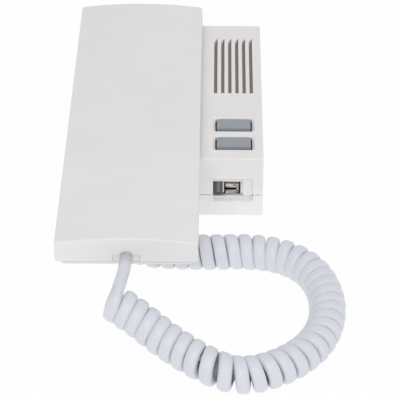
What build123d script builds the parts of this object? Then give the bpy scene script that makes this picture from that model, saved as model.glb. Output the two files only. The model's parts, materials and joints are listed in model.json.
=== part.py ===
from build123d import *
import math
import os

# Wall-mounted audio intercom, lying on its back with the handset on its rest.
# X runs across the unit, Y towards its top end, Z out of the wall. The origin is the middle
# of the back, under the middle of the handset's length. All lengths are in millimetres.

os.makedirs("parts", exist_ok=True)

# Whole unit
overall_width = 89.2
overrun = 1.0  # how far a cut runs past the face that it opens
face_gap = 0.3  # clearance between pieces that don't fasten to each other

# Handset
handset_length = 197.5
handset_width = 60.0
handset_draft = 0.2
handset_side_height = 9.8
handset_crown = 2.1
handset_wall = 2.0
handset_rim_gap = 0.5  # between the cover's rim and the plane of the seat
inner_shell_inset = 2.3  # from the handset's sides
handset_corner_radius = 1.6
handset_fold_radius = 0.6

# Base
base_length = 119.5
base_height = 31.2
base_inset = 3.0  # the base's left side, in from the handset's left side
base_corner_radius = 0.9
base_fold_radius = 0.7
back_depth = 11.5  # height of the joint between back shell and front cover
joint_groove_height = 0.35
joint_groove_depth = 1.0
base_wall = 2.2
back_floor = 2.2
rest_gap = 0.2  # handset's underside above the base's face

# Speech opening and call speaker
slot_count = 6
slot_pitch = 3.41
slot_width = 1.6
slot_length = 51.0
slot_slant = 3.3  # of a slot's far end, lower at its left side
slot_top_inset = 12.7
control_inset = 13.5  # centre of the slots and buttons, in from the base's right side
speaker_side_gap = 0.5  # between the speaker and the base's side wall
speaker_pocket_gap = 1.4  # between the speaker and the pocket for the ear end
speaker_gasket_height = 1.5
speaker_gasket_width = 2.6
speaker_flange_height = 1.4
speaker_depth = 9.0
speaker_sheet = 0.8
speaker_cone_gap = 0.4
magnet_radius_share = 0.543  # of the speaker's radius
magnet_height = 5.0
cone_cap_radius_share = 0.229  # of the speaker's radius

# Buttons
button_width = 15.6
button_depth = 9.2
button_side_gap = 0.7
button_end_gap = 0.5
button_corner_radius = 1.4
button_proud = 0.7  # ridge at the near edge, above the base's face
button_sunk = 0.2  # far edge, below the base's face
button_ridge_run = 1.4
button_skirt = 3.2  # cap's height below the base's face
button_flange = 1.1
button_flange_height = 1.2
button_stem_radius = 1.8
button_travel = 0.8
button_pitch = 15.3
lower_button_inset = 13.7  # centre of the lower button, in from the base's bottom end
bezel_width = 1.2
bezel_depth = 0.9

# Push switches under the buttons
push_switch_side = 6.0
push_switch_height = 3.5
push_plunger_radius = 1.7
push_plunger_length = 3.0
push_plunger_buried = 1.5

# Circuit board
board_thickness = 1.6
board_stand = 3.8  # posts between the back shell's floor and the board
board_bottom_inset = 5.2
board_length = 43.0
board_left_inset = 8.0
board_right_inset = 4.4
board_post_radius = 3.0
board_post_inset = 4.0
board_screw_radius = 1.1
board_screw_head_radius = 2.2
board_screw_head_height = 1.5
board_screw_length = 4.6

# Terminal block for the riser wires
terminal_count = 5
terminal_pitch = 5.0
terminal_depth = 8.5
terminal_height = 9.5
terminal_top_inset = 1.2
terminal_gap = 1.7  # between the hook switch and the terminal block
terminal_screw_radius = 1.7
terminal_screw_depth = 3.0
terminal_mouth_width = 3.2
terminal_mouth_height = 3.4
terminal_mouth_depth = 5.0
terminal_mouth_rise = 1.2

# Hook switch
hook_inset = 39.75  # from the base's bottom end
hook_plunger_radius = 2.5
hook_hole_gap = 0.3
hook_flange_radius = 4.2
hook_flange_height = 1.4
hook_travel = 3.5
hook_switch_width = 6.4
hook_switch_length = 12.8
hook_switch_height = 5.8
hook_key_height = 0.9
hook_key_radius = 1.5

# Small parts on the board: width, depth, height of the chip and sizes of the capacitors
chip_width = 7.6
chip_depth = 10.2
chip_height = 2.3
chip_left_inset = 8.5  # from the board's left side to the chip's
chip_low_inset = 12.4  # from the board's low end to the chip's
capacitor_radius = 3.2
capacitor_height = 9.0
capacitor_pitch = 8.4
capacitor_count = 3
capacitor_gap = 4.2  # between the chip and the first capacitor

# Volume switch behind its window in the bottom end
window_width = 18.3
window_height = 12.4
window_low = 8.0
window_inset = 13.75  # window's centre, in from the base's right side
window_corner_radius = 1.2
window_rim_width = 1.1
window_rim_land = 0.2
window_rim_proud = 0.35
sill_set_back = 1.2
sill_depth = 3.2
sill_height = 2.0
sill_rib_count = 3
sill_rib_pitch = 3.5
sill_rib_width = 0.9
sill_rib_proud = 0.5
window_block_width = 4.55
window_block_set_back = 0.6
window_block_depth = 2.7
window_block_gap = 0.6  # between the sill and the block above it
window_strip_width = 1.15  # step beside the block
window_hood_low = 17.2
window_hood_depth = 1.2
window_hood_lap = 1.5  # above the window's upper edge
lever_width = 4.75
lever_height = 6.6
lever_thickness = 0.9
lever_set_back = 0.4
lever_low = 11.6
lever_left_gap = 0.25
lever_right_gap = 1.15  # between the lever at the end of its travel and the fixed block
lever_stem_side = 0.7
lever_stem_rise = 1.8  # stem's middle above the lever's lower edge
lever_stem_length = 3.4
lever_grip_count = 2
lever_grip_width = 0.5
lever_grip_depth = 0.4
switch_sheet = 0.5
switch_gap = 0.9
switch_left_gap = 1.0  # from the lever's left edge back to the switch's
switch_block_gap = 1.35  # between the switch and the fixed block, across the window
switch_face_left = 5.55  # steel face, from the lever's left edge
switch_edge = 0.7  # black edge to the right of the steel face
switch_height = 6.6
switch_low = 10.3
switch_depth = 6.6
switch_wall = 1.2

# Case screws, wall holes and cable entry
case_screw_radius = 1.4
case_screw_head_radius = 2.7
case_screw_head_height = 1.6
case_screw_length = 21.0
case_pillar_radius = 3.8
case_pillar_inset = 7.0
case_pillar_low_x = 7.0
wall_hole_spacing = 60.0
wall_hole_inset = 48.75  # from the base's top end
wall_hole_radius = 2.2
wall_hole_head_radius = 4.5
wall_hole_slot = 6.0
cable_entry_width = 24.0
cable_entry_length = 14.0
cable_entry_radius = 2.0

# Ear end and mouth end of the handset
ear_inset = 38.25  # middle of the ear end, from the handset's top end
ear_width = 33.0
ear_length = 38.0
ear_depth = 9.0
ear_corner_radius = 9.0
ear_slope = 2.2
mouth_inset = 25.75  # middle of the mouth end, from the handset's low end
mouth_width = 30.0
mouth_length = 20.0
mouth_depth = 5.0
mouth_corner_radius = 6.0
mouth_slope = 1.6
inner_shell_wall = 1.8
inner_shell_rim = 3.6
lip_depth = 1.1  # step of the inner shell below the seat, past the base's bottom end
lip_end_inset = 0.5  # from the handset's low end
lip_base_gap = 1.0  # between the step and the base's bottom end
pocket_gap = 1.2
ear_hole_radius = 1.1
ear_hole_ring = 5.6
ear_hole_count = 8
mouth_hole_width = 1.2
mouth_hole_length = 7.0
mouth_hole_pitch = 3.4
mouth_hole_count = 3
earpiece_radius = 12.0
earpiece_height = 7.4
earpiece_step = 1.6
earpiece_gasket_height = 1.0
microphone_radius = 4.9
microphone_height = 6.2
sleeve_wall = 1.6
sleeve_floor = 0.8
sleeve_hole_radius = 1.5
ballast_width = 36.0
ballast_length = 58.0
ballast_height = 3.4
ballast_screw_gap = 13.5  # between the low screw's pillar and the ballast
ballast_pin_radius = 1.5
ballast_pin_y = 22.0
handset_screw_top_inset = 10.25
handset_screw_low_inset = 50.75
handset_pillar_radius = 3.4
handset_screw_radius = 1.3
handset_screw_head_radius = 2.6
handset_screw_head_height = 1.4
handset_screw_length = 6.4

# Curly cord and the grommets that hold it
cord_diameter = 4.5
curl_outer_diameter = 15.5
curl_count = 40
curl_end_share = 0.75  # of one more turn, so that the cord leaves at the top of the coil
curl_steps = 4  # biarcs in one turn
handset_grommet_width = 11.3
handset_grommet_height = 3.3
handset_grommet_depth = 6.4
grommet_gap = 0.1
collar_radius = 2.8
collar_hole_gap = 0.15
collar_proud = 1.6
cord_exit_rise = 2.4  # cord's centre at the handset, above the cover's rim
base_grommet_width = 11.0
base_grommet_height = 9.0
base_grommet_flange = 1.2
base_grommet_flange_depth = 1.4
lead_run_share = 0.45  # of a lead's run, taken up by the arc at a corner
coil_run_share = 0.9  # the same for the run next to the coil, which has one corner

# Worked out from the sizes above
handset_x = (handset_width + 2 * handset_draft - overall_width) / 2
base_right = overall_width / 2
base_left = base_inset - overall_width / 2
base_top = handset_length / 2
base_bottom = base_top - base_length
base_x = (base_left + base_right) / 2
control_x = base_right - control_inset
ear_y = handset_length / 2 - ear_inset
mouth_y = mouth_inset - handset_length / 2
handset_screw_places = (
    handset_length / 2 - handset_screw_top_inset,
    handset_screw_low_inset - handset_length / 2,
)
ballast_y = handset_screw_places[1] + handset_pillar_radius + ballast_screw_gap + ballast_length / 2
hook_y = base_bottom + hook_inset
wall_hole_y = base_top - wall_hole_inset
base_cord_x = handset_x
window_x = base_right - window_inset
window_left = window_x - window_width / 2
window_right = window_x + window_width / 2
lever_left = window_left + lever_left_gap
block_left = window_right - window_block_width
lever_travel = block_left - lever_right_gap - lever_width - lever_left
pocket_right = handset_x + ear_width / 2 + pocket_gap + base_wall
speaker_room = base_right - base_wall - speaker_side_gap - pocket_right - speaker_pocket_gap
speaker_radius = speaker_room / 2
speaker_x = pocket_right + speaker_pocket_gap + speaker_radius
magnet_radius = magnet_radius_share * speaker_radius
cone_cap_radius = cone_cap_radius_share * speaker_radius
lower_button_y = base_bottom + lower_button_inset
upper_button_y = lower_button_y + button_pitch
cover_underside = base_height - base_wall
seat = base_height + rest_gap  # underside of the handset
rim = seat + handset_rim_gap  # lower edge of the handset's cover
handset_edge = rim + handset_side_height
handset_ceiling = handset_edge - handset_wall
board_bottom = back_floor + board_stand
board_top = board_bottom + board_thickness
board_low_y = base_bottom + board_bottom_inset
board_high_y = board_low_y + board_length
chip_x = base_left + board_left_inset + chip_left_inset + chip_width / 2
chip_y = board_low_y + chip_low_inset + chip_depth / 2
capacitor_x = chip_x + chip_width / 2 + capacitor_gap + capacitor_radius
cord_exit_z = rim + cord_exit_rise
cord_exit_y = -handset_length / 2
curl_radius = (curl_outer_diameter - cord_diameter) / 2

# Axis of the coil, from the handset's end down to the table and round to the base. Each place
# comes with the share of the mean distance between turns that the curls have there.
coil_route = [
    (-17.6, -120.3, 26.3),
    (-9.2, -123.8, 22.3),
    (1.0, -130.0, 16.8),
    (12.2, -136.9, 13.2),
    (22.7, -143.1, 11.3),
    (33.0, -144.1, 8.1),
    (45.3, -141.0, 8.1),
    (58.5, -132.0, 8.1),
    (67.4, -119.1, 8.1),
    (71.5, -102.9, 8.1),
    (70.0, -85.2, 8.1),
    (63.5, -70.8, 8.1),
    (51.6, -62.1, 8.1),
    (37.1, -59.5, 8.1),
    (21.8, -60.3, 8.1),
    (7.0, -60.1, 8.1),
    (-5.5, -59.3, 8.1),
    (-15.4, -54.2, 8.1),
    (-21.4, -46.5, 8.1),
]
pitch_shares = [0.92, 1.01, 1.02, 1.08, 1.13, 1.13, 1.0, 1.02, 1.01, 0.98, 0.97, 1.11,
                1.06, 1.06, 1.05, 1.02, 1.17, 1.2, 1.01]

# Straight lead from the handset's grommet to the coil, and from the coil to the base
handset_lead = [(-14.4, -107.3, 34.3)]
handset_lead_run = 6.5
base_lead = [(-15.8, -37.6, 12.8), (-14.4, -31.9, 12.8)]
base_lead_run = 5.0


def block(x_limits, y_limits, z_limits, radius=0):
    """Block between three pairs of limits, with rounded upright edges."""
    width = x_limits[1] - x_limits[0]
    length = y_limits[1] - y_limits[0]
    outline = RectangleRounded(width, length, radius) if radius else Rectangle(width, length)
    place = Pos(sum(x_limits) / 2, sum(y_limits) / 2, z_limits[0])
    return extrude(place * outline, z_limits[1] - z_limits[0])


def centred_block(x, y, width, length, z_limits, radius=0):
    """Block of a width and length about a centre."""
    x_limits = (x - width / 2, x + width / 2)
    y_limits = (y - length / 2, y + length / 2)
    return block(x_limits, y_limits, z_limits, radius)


def disc(x, y, radius, z_limits):
    """Upright cylinder between two heights."""
    return extrude(Pos(x, y, z_limits[0]) * Circle(radius), z_limits[1] - z_limits[0])


def tapered(x, y, z_top, z_low, width, length, radius, slope):
    """Tub shape that gets narrower by slope on each side, from z_top down to z_low."""
    top = Pos(x, y, z_top) * RectangleRounded(width, length, radius)
    low = Pos(x, y, z_low) * RectangleRounded(width - 2 * slope, length - 2 * slope, radius)
    return loft([low.face(), top.face()])


def arched(low_width, high_width, low, high, crown, length):
    """Handset's section, flat below and arched above, drawn along its length."""
    plane = Plane((handset_x, length / 2, 0), x_dir=(1, 0, 0), z_dir=(0, -1, 0))
    right, left = high_width / 2, -high_width / 2
    sides = Polyline((right, high), (low_width / 2, low), (-low_width / 2, low), (left, high))
    arch = ThreePointArc((left, high), (0, high + crown), (right, high))
    return extrude(plane * make_face(sides + arch), length)


# Base: shells


def base_block(z_limits, inset=0):
    """Block of the base's outline, set in from its sides."""
    return block(
        (base_left + inset, base_right - inset),
        (base_bottom + inset, base_top - inset),
        z_limits,
        base_corner_radius - inset if inset < base_corner_radius else 0,
    )


def case_screw_places():
    """Centres of the screws that hold the two shells together."""
    return [
        (base_left + case_pillar_inset, base_top - case_pillar_inset),
        (base_right - case_pillar_inset, base_top - case_pillar_inset),
        (case_pillar_low_x, base_bottom + case_pillar_inset),
    ]


def board_screw_places():
    """Centres of the screws that hold the circuit board."""
    x_low = base_left + board_left_inset + board_post_inset
    x_high = base_right - board_right_inset - board_post_inset
    y_high = board_high_y - board_post_inset
    return [(x_low, board_low_y + board_post_inset), (x_low, y_high), (x_high, y_high)]


def window_outline(grown=0):
    """Window's rounded outline, grown all round."""
    width, height = window_width + 2 * grown, window_height + 2 * grown
    return RectangleRounded(width, height, window_corner_radius + grown)


def window_plane(y):
    """Upright plane through the window's centre."""
    return Plane((window_x, y, window_low + window_height / 2), x_dir=(1, 0, 0), z_dir=(0, 1, 0))


def window_cut():
    """Window through the bottom end and its raised surround."""
    start = base_bottom - window_rim_proud - overrun
    depth = base_wall + window_rim_proud + 2 * overrun
    return extrude(window_plane(start) * window_outline(), depth)


def window_surround(z_limits):
    """Bevelled rim round the window, between two heights."""
    foot = window_plane(base_bottom) * window_outline(window_rim_width)
    crest = window_plane(base_bottom - window_rim_proud) * window_outline(window_rim_land)
    return loft([crest.face(), foot.face()]) & base_block(z_limits, -overrun)


def base_grommet_cut():
    """Hole for the cord's grommet in the bottom end, across the shells' joint."""
    return block(
        (base_cord_x - base_grommet_width / 2, base_cord_x + base_grommet_width / 2),
        (base_bottom - overrun, base_bottom + base_wall + overrun),
        (
            base_cord_z() - base_grommet_height / 2,
            base_cord_z() + base_grommet_height / 2,
        ),
    )


def base_cord_z():
    """Height of the cord where it enters the base."""
    return base_lead[-1][2]


def keyhole(x, y):
    """Screw hole with a wider mouth below it, to hang the back shell on a screw head."""
    z_limits = (-overrun, back_floor + overrun)
    narrow = centred_block(x, y + wall_hole_slot / 2, 2 * wall_hole_radius, wall_hole_slot, z_limits)
    top = disc(x, y + wall_hole_slot, wall_hole_radius, z_limits)
    return disc(x, y, wall_hole_head_radius, z_limits) + narrow + top


def back_shell():
    """Tray that is screwed to the wall."""
    shell = base_block((0, back_depth))
    groove_limits = (back_depth - joint_groove_height, back_depth + overrun)
    shell -= base_block(groove_limits) - base_block(groove_limits, joint_groove_depth)
    shell -= base_block((back_floor, back_depth + overrun), base_wall)
    for x, y in board_screw_places():
        shell += disc(x, y, board_post_radius, (back_floor, board_bottom))
        shell -= disc(x, y, board_screw_radius, (back_floor, board_bottom + overrun))
    for x, y in case_screw_places():
        shell += disc(x, y, case_pillar_radius, (0, back_depth))
        shell -= disc(x, y, case_screw_radius + face_gap, (-overrun, back_depth + overrun))
        head_top = case_screw_head_height + face_gap
        shell -= disc(x, y, case_screw_head_radius + face_gap, (-overrun, head_top))
    for x in (base_x - wall_hole_spacing / 2, base_x + wall_hole_spacing / 2):
        shell -= keyhole(x, wall_hole_y)
    z_limits = (-overrun, back_floor + overrun)
    shell -= centred_block(
        base_x, wall_hole_y, cable_entry_width, cable_entry_length, z_limits, cable_entry_radius
    )
    shell += window_surround((0, back_depth - joint_groove_height))
    shell -= window_cut()
    shell -= base_grommet_cut()
    return shell + sill()


def sill():
    """Ribbed ledge across the window, below the volume switch."""
    y = base_bottom + sill_set_back
    z_limits = (window_low, window_low + sill_height)
    ledge = block((window_left, window_right), (y, y + sill_depth), z_limits)
    foot_limits = (back_floor, window_low + sill_height / 2)
    foot = block(
        (window_left, window_right), (base_bottom + base_wall, y + sill_depth), foot_limits
    )
    for i in range(sill_rib_count):
        x = window_x + (i - (sill_rib_count - 1) / 2) * sill_rib_pitch
        rib_y = (y - sill_rib_proud, y + sill_rib_proud)
        ledge += block((x - sill_rib_width / 2, x + sill_rib_width / 2), rib_y, z_limits)
    return ledge + foot


def button_hole(y):
    """Opening for a button, with its bevelled recess."""
    width = button_width + 2 * button_side_gap
    length = button_depth + 2 * button_end_gap
    z_limits = (cover_underside - overrun, base_height + overrun)
    hole = centred_block(control_x, y, width, length, z_limits)
    bevel = tapered(
        control_x,
        y,
        base_height,
        base_height - bezel_depth,
        width + 2 * bezel_width,
        length + 2 * bezel_width,
        bezel_width,
        bezel_width,
    )
    return hole + bevel


def speech_slot(x, top):
    """Slot through the cover's face, with a slanted far end."""
    left, right = x - slot_width / 2, x + slot_width / 2
    low = top - slot_length
    outline = Polyline((left, low), (right, low), (right, top), (left, top - slot_slant), (left, low))
    start = cover_underside - overrun
    return extrude(Pos(0, 0, start) * make_face(outline), base_wall + 2 * overrun)


def ear_pocket_size():
    """Width and length of the pocket in which the ear end rests."""
    return ear_width + 2 * pocket_gap, ear_length + 2 * pocket_gap


def front_cover():
    """Cover with the speech slots, the buttons' openings and the pocket for the ear end."""
    cover = base_block((back_depth, base_height))
    top_edges = cover.faces().sort_by(Axis.Z)[-1].edges()
    cover = fillet(top_edges, base_fold_radius)
    cover -= base_block((back_depth - overrun, cover_underside), base_wall)
    slot_top = base_top - slot_top_inset
    for i in range(slot_count):
        cover -= speech_slot(control_x + (i - (slot_count - 1) / 2) * slot_pitch, slot_top)
    for y in (lower_button_y, upper_button_y):
        cover -= button_hole(y)
    for x, y in case_screw_places():
        cover += disc(x, y, case_pillar_radius, (back_depth, base_height - base_wall / 2))
        cover -= disc(x, y, case_screw_radius, (back_depth - overrun, cover_underside - overrun))
    width, length = ear_pocket_size()
    pocket_floor = seat - ear_depth - pocket_gap
    wall = base_wall
    tub = tapered(
        handset_x, ear_y, cover_underside, pocket_floor - wall,
        width + 2 * wall, length + 2 * wall, ear_corner_radius + wall, ear_slope,
    )
    hollow = tapered(
        handset_x, ear_y, base_height, pocket_floor,
        width, length, ear_corner_radius + pocket_gap, ear_slope,
    )
    cover = cover + tub - hollow
    hole_radius = hook_plunger_radius + hook_hole_gap
    cover -= disc(handset_x, hook_y, hole_radius, (cover_underside - overrun, base_height + overrun))
    cover += window_surround((back_depth, base_height))
    cover -= window_cut()
    cover -= base_grommet_cut()
    return cover + window_block() + window_hood()


def window_block():
    """Fixed block in the window's right end, with a lintel above the lever."""
    y = base_bottom + window_block_set_back
    y_limits = (y, y + window_block_depth)
    low = window_low + sill_height + window_block_gap
    high = window_low + window_height + overrun
    upper = block((block_left, window_right + overrun), y_limits, (back_depth, high))
    foot_limits = (low, back_depth + overrun)
    foot = block((block_left, window_right - face_gap), y_limits, foot_limits)
    strip_limits = (block_left - window_strip_width, block_left + overrun)
    strip = block(strip_limits, (frame_face(), y + window_block_depth), (low, high))
    lintel_low = lever_low + lever_height + face_gap
    lintel_y = (y, base_bottom + base_wall + overrun)
    lintel = block((window_left - overrun, block_left + overrun), lintel_y, (lintel_low, high))
    return upper + foot + strip + lintel


def window_hood():
    """Bar behind the window's upper part, above the switch."""
    y = base_bottom + base_wall
    z_limits = (window_hood_low, window_low + window_height + window_hood_lap)
    x_limits = (window_left - overrun, window_right + overrun)
    return block(x_limits, (y, y + window_hood_depth), z_limits)


# Base: call speaker


def speaker_levels():
    """Heights of the gasket's top, the flange's top, the flange's underside and the magnet's top."""
    flange_top = cover_underside - speaker_gasket_height
    flange_low = flange_top - speaker_flange_height
    return cover_underside, flange_top, flange_low, flange_low - speaker_depth


def ring(x, y, outer, inner, z_limits):
    """Flat ring between two heights."""
    return disc(x, y, outer, z_limits) - disc(x, y, inner, z_limits)


def cone_shell(outer_top, outer_low, wall, z_limits):
    """Open cone of one wall thickness about the speaker's centre."""
    x, centre_y = speaker_x, ear_y
    low = Pos(x, centre_y, z_limits[0]) * Circle(outer_low)
    top = Pos(x, centre_y, z_limits[1]) * Circle(outer_top)
    inner_low = Pos(x, centre_y, z_limits[0]) * Circle(outer_low - wall)
    inner_top = Pos(x, centre_y, z_limits[1]) * Circle(outer_top - wall)
    return loft([low.face(), top.face()]) - loft([inner_low.face(), inner_top.face()])


def speaker_gasket():
    """Foam ring between the speaker and the cover."""
    top, low, _, _ = speaker_levels()
    inner = speaker_radius - speaker_gasket_width
    return ring(speaker_x, ear_y, speaker_radius, inner, (low, top))


def speaker_frame():
    """Pressed basket with its flange."""
    _, top, low, back = speaker_levels()
    inner = speaker_radius - speaker_gasket_width
    flange = ring(speaker_x, ear_y, speaker_radius, inner, (low, top))
    basket_radius = inner + speaker_sheet
    basket = cone_shell(basket_radius, magnet_radius, speaker_sheet, (back, low))
    floor = disc(speaker_x, ear_y, magnet_radius, (back - speaker_sheet, back))
    return flange + basket + floor


def speaker_cone():
    """Paper cone with its dust cap."""
    _, _, low, back = speaker_levels()
    inner = speaker_radius - speaker_gasket_width
    base_z = back + speaker_sheet
    skirt = cone_shell(
        inner - speaker_cone_gap,
        magnet_radius - speaker_sheet - speaker_cone_gap,
        speaker_sheet,
        (base_z, low + speaker_flange_height),
    )
    bobbin = disc(speaker_x, ear_y, magnet_radius - speaker_sheet - speaker_cone_gap, (back, base_z))
    dome = disc(speaker_x, ear_y, cone_cap_radius, (base_z, base_z + cone_cap_radius / 2))
    return skirt + bobbin + dome


def speaker_magnet():
    """Magnet behind the basket."""
    _, _, _, back = speaker_levels()
    top = back - speaker_sheet
    return disc(speaker_x, ear_y, magnet_radius, (top - magnet_height, top))


# Base: buttons and their switches


def button_cap(y):
    """Cap with a ridge along its near edge, a flange under the cover and a stem."""
    near = y - button_depth / 2
    far = y + button_depth / 2
    low = base_height - button_skirt
    plane = Plane((control_x - button_width / 2, 0, 0), x_dir=(0, 1, 0), z_dir=(1, 0, 0))
    profile = Polyline(
        (near, low),
        (far, low),
        (far, base_height - button_sunk),
        (near + button_ridge_run, base_height + button_proud),
        (near, base_height + button_proud - button_sunk),
        (near, low),
    )
    cap = extrude(plane * make_face(profile), button_width)
    far_edges = cap.edges().filter_by(Axis.Z).group_by(Axis.Y)[-1]
    cap = fillet(far_edges, button_corner_radius)
    flange_top = cover_underside - face_gap
    flange_low = flange_top - button_flange_height
    cap += centred_block(
        control_x,
        y,
        button_width + 2 * button_flange,
        button_depth + 2 * button_flange,
        (flange_low, flange_top),
    )
    return cap + disc(control_x, y, button_stem_radius, (push_plunger_top(), flange_low))


def push_plunger_top():
    """Top of a push switch's plunger at rest."""
    return board_top + push_switch_height - push_plunger_buried + push_plunger_length


def push_switch(y):
    """Body of a push switch, with the bore for its plunger."""
    top = board_top + push_switch_height
    body = centred_block(control_x, y, push_switch_side, push_switch_side, (board_top, top))
    bore_radius = push_plunger_radius + hook_hole_gap
    bore_low = push_plunger_top() - push_plunger_length - button_travel - grommet_gap
    return body - disc(control_x, y, bore_radius, (bore_low, top + overrun))


def push_plunger(y):
    """Plunger of a push switch, which moves with its button."""
    top = push_plunger_top()
    return disc(control_x, y, push_plunger_radius, (top - push_plunger_length, top))


# Base: circuit board and what stands on it


def circuit_board():
    """Board on its posts, cut round the case screw's pillar."""
    board = block(
        (base_left + board_left_inset, base_right - board_right_inset),
        (board_low_y, board_high_y),
        (board_bottom, board_top),
    )
    for x, y in board_screw_places():
        board -= disc(x, y, board_screw_radius, (board_bottom - overrun, board_top + overrun))
    x, y = case_screw_places()[-1]
    notch_radius = case_pillar_radius + face_gap
    return board - disc(x, y, notch_radius, (board_bottom - overrun, board_top + overrun))


def screw(x, y, z_head, head_radius, head_height, shank_radius, length, up):
    """Round-headed screw whose head ends at z_head, with its shank pointing up or down."""
    way = 1 if up else -1
    shoulder = z_head + way * head_height
    tip = shoulder + way * length
    head = disc(x, y, head_radius, sorted((z_head, shoulder)))
    slot_low = sorted((z_head - way * overrun, z_head + way * head_height / 2))
    slot = centred_block(x, y, 2 * head_radius, head_height / 2, slot_low)
    return head - slot + disc(x, y, shank_radius, sorted((shoulder, tip)))


def board_screws():
    """Screws through the circuit board into its posts."""
    head = board_top + board_screw_head_height
    return [
        screw(
            x, y, head, board_screw_head_radius, board_screw_head_height,
            board_screw_radius, board_screw_length, False,
        )
        for x, y in board_screw_places()
    ]


def terminal_y():
    """Middle of the terminal block along the base."""
    return board_high_y - terminal_top_inset - terminal_depth / 2


def terminal_places():
    """Middle of each terminal across the base."""
    first = handset_x + (hook_switch_width + terminal_pitch) / 2 + terminal_gap
    return [first + i * terminal_pitch for i in range(terminal_count)]


def terminal_block():
    """Block for the wires from the wall, open towards the cable entry."""
    y = terminal_y()
    top = board_top + terminal_height
    places = terminal_places()
    middle = (places[0] + places[-1]) / 2
    width = terminal_count * terminal_pitch
    body = centred_block(middle, y, width, terminal_depth, (board_top, top))
    for x in places:
        body -= disc(x, y, terminal_screw_radius, (top - terminal_screw_depth, top + overrun))
        mouth_y = y + terminal_depth / 2
        mouth_low = board_top + terminal_mouth_rise
        body -= block(
            (x - terminal_mouth_width / 2, x + terminal_mouth_width / 2),
            (mouth_y - terminal_mouth_depth, mouth_y + overrun),
            (mouth_low, mouth_low + terminal_mouth_height),
        )
    return body


def terminal_screws():
    """Clamp screws of the terminals."""
    top = board_top + terminal_height - face_gap
    low = board_top + terminal_height - terminal_screw_depth
    screws = []
    for x in terminal_places():
        slot = centred_block(
            x, terminal_y(), 2 * terminal_screw_radius, face_gap, (top - overrun, top + overrun)
        )
        screws.append(disc(x, terminal_y(), terminal_screw_radius, (low, top)) - slot)
    return screws


def board_components():
    """Amplifier chip and capacitors."""
    chip = centred_block(chip_x, chip_y, chip_width, chip_depth, (board_top, board_top + chip_height))
    cans = [
        disc(
            capacitor_x + i * capacitor_pitch,
            chip_y,
            capacitor_radius,
            (board_top, board_top + capacitor_height),
        )
        for i in range(capacitor_count)
    ]
    return [chip] + cans


def hook_switch():
    """Small switch under the plunger, with its key."""
    top = board_top + hook_switch_height
    body = centred_block(
        handset_x, hook_y, hook_switch_width, hook_switch_length, (board_top, top)
    )
    return body + disc(handset_x, hook_y, hook_key_radius, (top, top + hook_key_height))


def hook_plunger():
    """Plunger that the handset holds down."""
    top = seat - face_gap
    low = board_top + hook_switch_height + hook_key_height + face_gap
    flange_top = cover_underside - hook_travel - face_gap
    rod = disc(handset_x, hook_y, hook_plunger_radius, (low, top))
    flange = disc(
        handset_x, hook_y, hook_flange_radius, (flange_top - hook_flange_height, flange_top)
    )
    return rod + flange


# Base: volume switch


def lever_limits():
    """Left and right edge of the lever at rest."""
    return lever_left, lever_left + lever_width


def frame_face():
    """Front face of the switch's steel frame."""
    return base_bottom + lever_set_back + lever_thickness + switch_gap


def switch_limits():
    """Left and right edge of the switch behind the window."""
    return lever_left - switch_left_gap, block_left - switch_block_gap


def stem_channel(clearance, y_limits):
    """Space that the lever's stem slides in."""
    middle = sum(lever_limits()) / 2
    z = lever_low + lever_stem_rise
    half = lever_stem_side / 2 + clearance
    return block(
        (middle - half, middle + lever_travel + half), y_limits, (z - half, z + half)
    )


def volume_switch_frame():
    """Steel face of the volume switch with its slot."""
    right = switch_limits()[1] - switch_edge
    y = frame_face()
    z_limits = (switch_low, switch_low + switch_height)
    plate = block((lever_left + switch_face_left, right), (y, y + switch_sheet), z_limits)
    return plate - stem_channel(face_gap, (y - overrun, y + switch_sheet + overrun))


def volume_switch_base():
    """Moulded body of the volume switch."""
    left, right = switch_limits()
    y = frame_face() + switch_sheet
    z_limits = (switch_low, switch_low + switch_height)
    body = block((left, right), (y, y + switch_depth), z_limits)
    channel_end = y + lever_stem_length + face_gap
    body -= stem_channel(face_gap, (y - overrun, channel_end))
    leg_limits = (board_top, switch_low)
    legs = block(
        (left + switch_wall, right - switch_wall),
        (y + switch_depth - switch_wall, y + switch_depth),
        leg_limits,
    )
    return body + legs


def volume_lever():
    """Sliding lever with grip grooves and its stem."""
    left, right = lever_limits()
    y = base_bottom + lever_set_back
    z_limits = (lever_low, lever_low + lever_height)
    lever = block((left, right), (y, y + lever_thickness), z_limits)
    for i in range(lever_grip_count):
        x = left + (i + 1) * lever_width / (lever_grip_count + 1)
        groove_y = (y - overrun, y + lever_grip_depth)
        lever -= block((x - lever_grip_width / 2, x + lever_grip_width / 2), groove_y, z_limits)
    middle = (left + right) / 2
    z = lever_low + lever_stem_rise
    half = lever_stem_side / 2
    stem_end = frame_face() + switch_sheet + lever_stem_length
    stem_y = (y + lever_thickness, stem_end)
    return lever + block((middle - half, middle + half), stem_y, (z - half, z + half))


# Handset


def handset_cover():
    """Arched outer shell of the handset."""
    low_width = handset_width + 2 * handset_draft
    outer = arched(low_width, handset_width, rim, handset_edge, handset_crown, handset_length)
    uprights = outer.edges().filter_by(GeomType.LINE).filter_by(
        lambda edge: abs(edge.tangent_at(0).Z) > abs(edge.tangent_at(0).Y)
        and abs(edge.tangent_at(0).Z) > abs(edge.tangent_at(0).X)
    )
    outer = fillet(uprights, handset_corner_radius)
    outer = fillet(outer.faces().sort_by(Axis.Z)[-1].edges(), handset_fold_radius)
    inner = arched(
        low_width - 2 * handset_wall,
        handset_width - 2 * handset_wall,
        rim - overrun,
        handset_ceiling,
        handset_crown,
        handset_length - 2 * handset_wall,
    )
    shell = outer - inner
    for y in handset_screw_places:
        pillar_z = (seat + inner_shell_wall, handset_ceiling + handset_crown + handset_wall / 2)
        shell += disc(handset_x, y, handset_pillar_radius, pillar_z)
        shell -= disc(handset_x, y, handset_screw_radius, (seat, handset_ceiling))
    return shell - handset_grommet_cut()


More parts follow.
